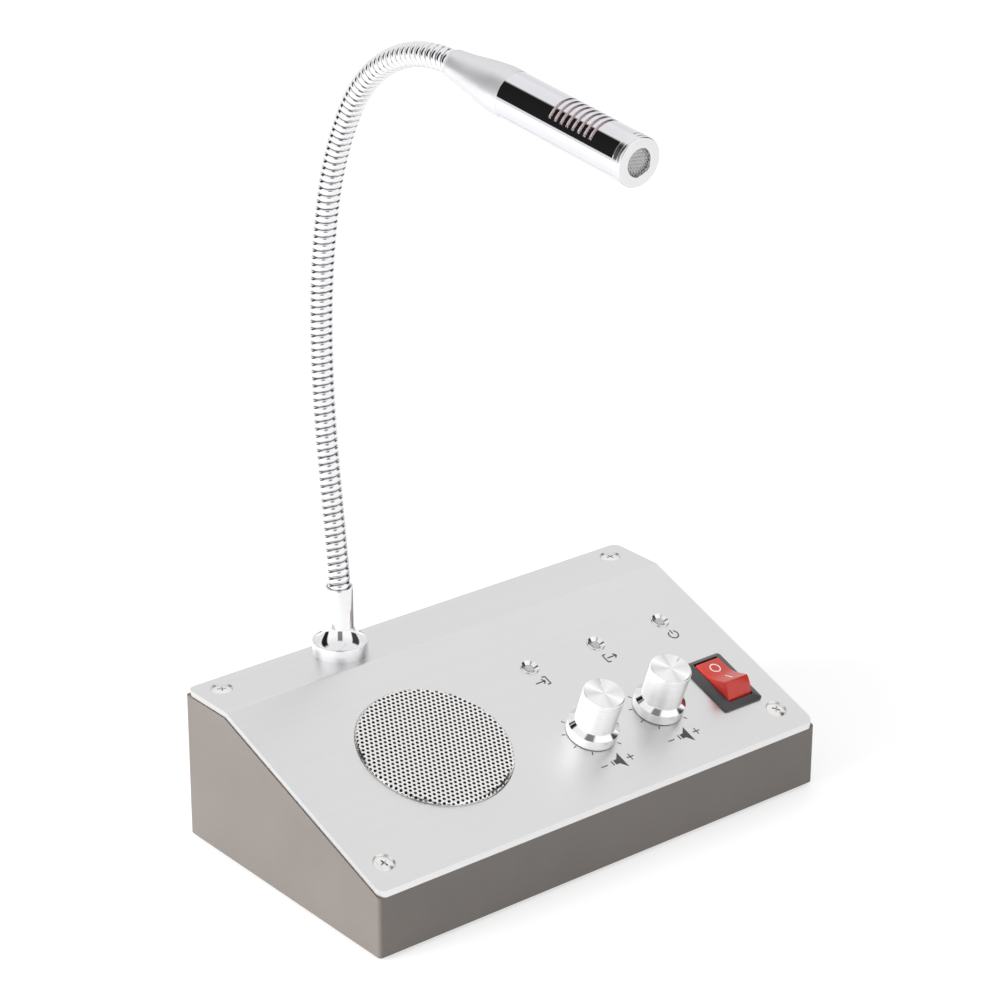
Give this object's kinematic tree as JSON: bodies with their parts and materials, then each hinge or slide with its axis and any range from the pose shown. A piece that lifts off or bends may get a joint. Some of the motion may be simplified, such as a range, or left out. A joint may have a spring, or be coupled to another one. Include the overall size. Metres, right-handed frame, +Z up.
{
  "type": "teller window intercom",
  "caption": "Desk intercom for a counter window: wedge-shaped case with a perforated loudspeaker, volume knobs, a rocker switch, indicator lamps and a microphone on a bending neck.",
  "frame": {"origin": "on the table under the middle of the case, at the underside of its rubber pad", "axes": "+Z up, +X the user's right when facing the panel, -Y towards the user"},
  "size_m": [0.166, 0.1401, 0.2455],
  "materials": {
    "case_plastic": "fine moulded texture, satin",
    "panel_aluminium": "brushed lengthwise",
    "screw_steel": "bright plated",
    "pad_rubber": "matt",
    "grille_steel": "bright plated",
    "foam": "matt foam",
    "speaker_steel": "zinc plated",
    "cone_paper": "matt",
    "dust_cap_paper": "matt",
    "ferrite": "matt ceramic magnet",
    "plated_steel": "zinc plated",
    "neck_chrome": "mirror",
    "hose_chrome": "bright ribbed",
    "mic_satin": "satin",
    "mic_chrome": "mirror",
    "mic_liner_plastic": "pale",
    "mic_ring_metal": "matt face",
    "mesh_wire": "woven",
    "capsule_metal": "plain",
    "knob_aluminium": "spun",
    "black_plastic": "semi-gloss",
    "insert_plastic": "matt",
    "rocker_red": "gloss",
    "bezel_chrome": "bright",
    "lamp_clear": "clear",
    "pot_steel": "plated",
    "brass_blade": "plain",
    "board_green": "solder resist",
    "chip_black": "matt",
    "capacitor_black": "sleeved",
    "header_white": "matt"
  },
  "bodies": {
    "base": {"case_tub": "case_plastic", "base_pad": "pad_rubber", "top_panel": "panel_aluminium", "panel_screws": "screw_steel", "speaker_grille": "grille_steel", "speaker_gasket": "foam", "speaker_basket": "speaker_steel", "speaker_cone": "cone_paper", "speaker_dust_cap": "dust_cap_paper", "speaker_magnet": "ferrite", "speaker_top_plate": "speaker_steel", "speaker_yoke": "speaker_steel", "speaker_clips": "plated_steel", "speaker_nuts": "plated_steel", "neck_flange": "neck_chrome", "neck_washer": "plated_steel", "neck_nut": "plated_steel", "neck_hose_1": "hose_chrome", "pot_body_in": "pot_steel", "pot_body_out": "pot_steel", "pot_washers": "plated_steel", "pot_nuts": "plated_steel", "switch_housing": "black_plastic", "switch_terminals": "brass_blade", "indicator_bezels": "bezel_chrome", "indicator_lamps": "lamp_clear", "indicator_nuts": "plated_steel", "main_board": "board_green", "board_screws": "plated_steel", "amplifier_chips": "chip_black", "board_headers": "header_white", "board_capacitors": "capacitor_black", "heat_sink": "knob_aluminium", "dc_power_jack": "insert_plastic", "outer_unit_jack": "insert_plastic", "line_out_jack": "insert_plastic"},
    "neck_2": {"neck_hose_2": "hose_chrome"},
    "neck_3": {"neck_hose_3": "hose_chrome"},
    "neck_4": {"neck_hose_4": "hose_chrome"},
    "neck_5": {"neck_hose_5": "hose_chrome"},
    "neck_6": {"neck_hose_6": "hose_chrome"},
    "neck_7": {"neck_hose_7": "hose_chrome"},
    "mic": {"neck_hose_8": "hose_chrome", "mic_rear_housing": "mic_satin", "mic_barrel": "mic_chrome", "mic_liner": "mic_liner_plastic", "mic_end_ring": "mic_ring_metal", "mic_capsule": "capsule_metal", "mic_capsule_boot": "pad_rubber", "mic_mesh": "mesh_wire"},
    "knob_in": {"volume_knob_in": "knob_aluminium", "knob_insert_in": "insert_plastic", "pot_shaft_in": "pot_steel"},
    "knob_out": {"volume_knob_out": "knob_aluminium", "knob_insert_out": "insert_plastic", "pot_shaft_out": "pot_steel"},
    "rocker": {"switch_rocker": "rocker_red"}
  },
  "joints": [
    {"name": "neck_bend", "type": "hinge", "parent": "base", "child": "neck_2", "pos_m": [-0.033, 0.04075, 0.09576], "axis": [1, 0, 0], "range_deg": [-14, 14]},
    {"name": "neck_sway", "type": "hinge", "parent": "neck_2", "child": "neck_3", "pos_m": [-0.033, 0.04355, 0.12129], "axis": [0, 0.9969, -0.0787], "range_deg": [-14, 14]},
    {"name": "neck_bend_3", "type": "hinge", "parent": "neck_3", "child": "neck_4", "pos_m": [-0.033, 0.04447, 0.14696], "axis": [1, 0, 0], "range_deg": [-14, 14]},
    {"name": "neck_bend_4", "type": "hinge", "parent": "neck_4", "child": "neck_5", "pos_m": [-0.033, 0.04276, 0.17257], "axis": [1, 0, 0], "range_deg": [-14, 14]},
    {"name": "neck_sway_5", "type": "hinge", "parent": "neck_5", "child": "neck_6", "pos_m": [-0.033, 0.03766, 0.19772], "axis": [0, 0.9543, 0.2987], "range_deg": [-14, 14]},
    {"name": "neck_bend_6", "type": "hinge", "parent": "neck_6", "child": "neck_7", "pos_m": [-0.033, 0.02686, 0.22093], "axis": [1, 0, 0], "range_deg": [-14, 14]},
    {"name": "neck_bend_7", "type": "hinge", "parent": "neck_7", "child": "mic", "pos_m": [-0.033, 0.00746, 0.23728], "axis": [1, 0, 0], "range_deg": [-14, 14]},
    {"name": "volume_in_turn", "type": "hinge", "parent": "base", "child": "knob_in", "pos_m": [0.0137, -0.02274, 0.03072], "axis": [0, -0.3437, 0.9391], "range_deg": [-150, 150]},
    {"name": "volume_out_turn", "type": "hinge", "parent": "base", "child": "knob_out", "pos_m": [0.0399, -0.02274, 0.03072], "axis": [0, -0.3437, 0.9391], "range_deg": [-150, 150]},
    {"name": "power_rock", "type": "hinge", "parent": "base", "child": "rocker", "pos_m": [0.0661, -0.02226, 0.0294], "axis": [1, 0, 0], "range_deg": [0, 33.6]}
  ],
  "couplings": [
    {"joint": "neck_bend_3", "follows": "neck_bend", "ratio": 1},
    {"joint": "neck_bend_4", "follows": "neck_bend", "ratio": 1},
    {"joint": "neck_sway_5", "follows": "neck_sway", "ratio": 1},
    {"joint": "neck_bend_6", "follows": "neck_bend", "ratio": 1},
    {"joint": "neck_bend_7", "follows": "neck_bend", "ratio": 1}
  ]
}
